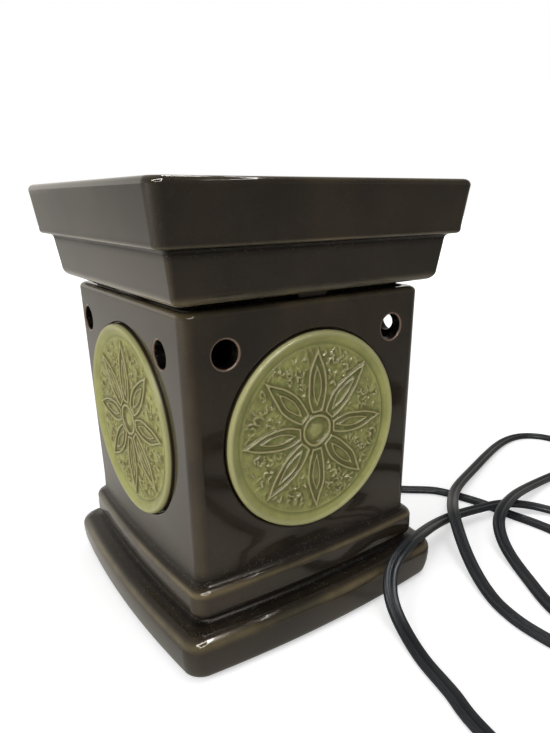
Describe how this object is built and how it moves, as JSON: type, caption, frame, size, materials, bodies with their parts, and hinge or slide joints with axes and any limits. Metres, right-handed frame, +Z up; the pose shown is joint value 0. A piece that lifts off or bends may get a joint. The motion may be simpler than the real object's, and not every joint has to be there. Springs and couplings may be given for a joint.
{
  "type": "electric wax warmer",
  "caption": "Square glazed ceramic wax warmer: lift-off stepped dish over a hollow lamp body with round flower medallions, vents, socket, globe bulb, and a corded switch and plug.",
  "frame": {"origin": "centre of the object's footprint on the surface it stands on, the cord and what is on it left out", "axes": "+Z up, along the longest extent; the front face of the picture looks along -Y and the left face along -X"},
  "size_m": [0.3034, 0.3356, 0.166],
  "materials": {
    "brown_glaze": "high gloss dark brown glaze, black where it pools and bronze where it breaks on edges",
    "green_glaze": "glossy celadon green glaze, darker where it pools",
    "black_plastic": "satin black moulding",
    "black_rubber": "matt",
    "steel": "zinc plated",
    "phenolic": "moulded phenolic",
    "red_fibre": "vulcanised fibre",
    "brass": "stamped, dull",
    "bulb_glass": "clear",
    "black_glass": "black insulating glass",
    "tungsten": "drawn wire",
    "cord_jacket": "satin charcoal flexible jacket",
    "lead_black": "satin insulation",
    "lead_white": "satin insulation"
  },
  "bodies": {
    "base": {"body_shell": "brown_glaze", "medallion_front": "green_glaze", "medallion_right": "green_glaze", "medallion_back": "green_glaze", "medallion_left": "green_glaze", "base_plate": "black_plastic", "foot_front_left": "black_rubber", "foot_front_right": "black_rubber", "foot_back_left": "black_rubber", "foot_back_right": "black_rubber", "clamp_bar": "steel", "clamp_screw_left": "steel", "clamp_screw_right": "steel", "clamp_nut_left": "steel", "clamp_nut_right": "steel", "socket_body": "phenolic", "socket_nipple": "steel", "socket_washer": "steel", "socket_nut": "steel", "socket_insulator": "red_fibre", "socket_contact": "brass", "socket_screw_shell": "brass", "strain_relief": "black_rubber", "lead_live": "lead_black", "lead_neutral": "lead_white", "cord_run": "cord_jacket", "cord_coil": "cord_jacket", "cord_to_switch": "cord_jacket", "cord_to_plug": "cord_jacket", "switch_lower_shell": "black_plastic", "switch_upper_shell": "black_plastic", "switch_pin": "steel", "switch_contact_in": "brass", "switch_contact_out": "brass", "switch_screw_in": "steel", "switch_screw_out": "steel", "plug_body": "black_plastic", "plug_blade_narrow": "brass", "plug_blade_wide": "brass"},
    "dish": {"wax_dish": "brown_glaze"},
    "bulb_end": {"bulb_tip_contact": "brass", "bulb_insulator": "black_glass"},
    "bulb": {"bulb_screw_base": "brass", "bulb_glass": "bulb_glass", "bulb_stem": "bulb_glass", "bulb_lead_wire_left": "tungsten", "bulb_lead_wire_right": "tungsten", "bulb_filament": "tungsten"},
    "switch_dial": {"switch_wheel": "black_rubber"}
  },
  "joints": [
    {"name": "dish_lift", "type": "slide", "parent": "base", "child": "dish", "axis": [0, 0, 1], "range_m": [0, 0.06]},
    {"name": "bulb_lift", "type": "slide", "parent": "base", "child": "bulb_end", "axis": [0, 0, 1], "range_m": [0, 0.0072]},
    {"name": "bulb_turn", "type": "hinge", "parent": "bulb_end", "child": "bulb", "pos_m": [0, 0, 0.0464], "axis": [0, 0, 1], "range_deg": [0, 1020]},
    {"name": "switch_turn", "type": "hinge", "parent": "base", "child": "switch_dial", "pos_m": [0.089, -0.21, 0.00815], "axis": [0, 0, 1], "continuous": true}
  ],
  "couplings": [
    {"joint": "bulb_turn", "follows": "bulb_lift", "rad_per_m": 2472.5}
  ]
}
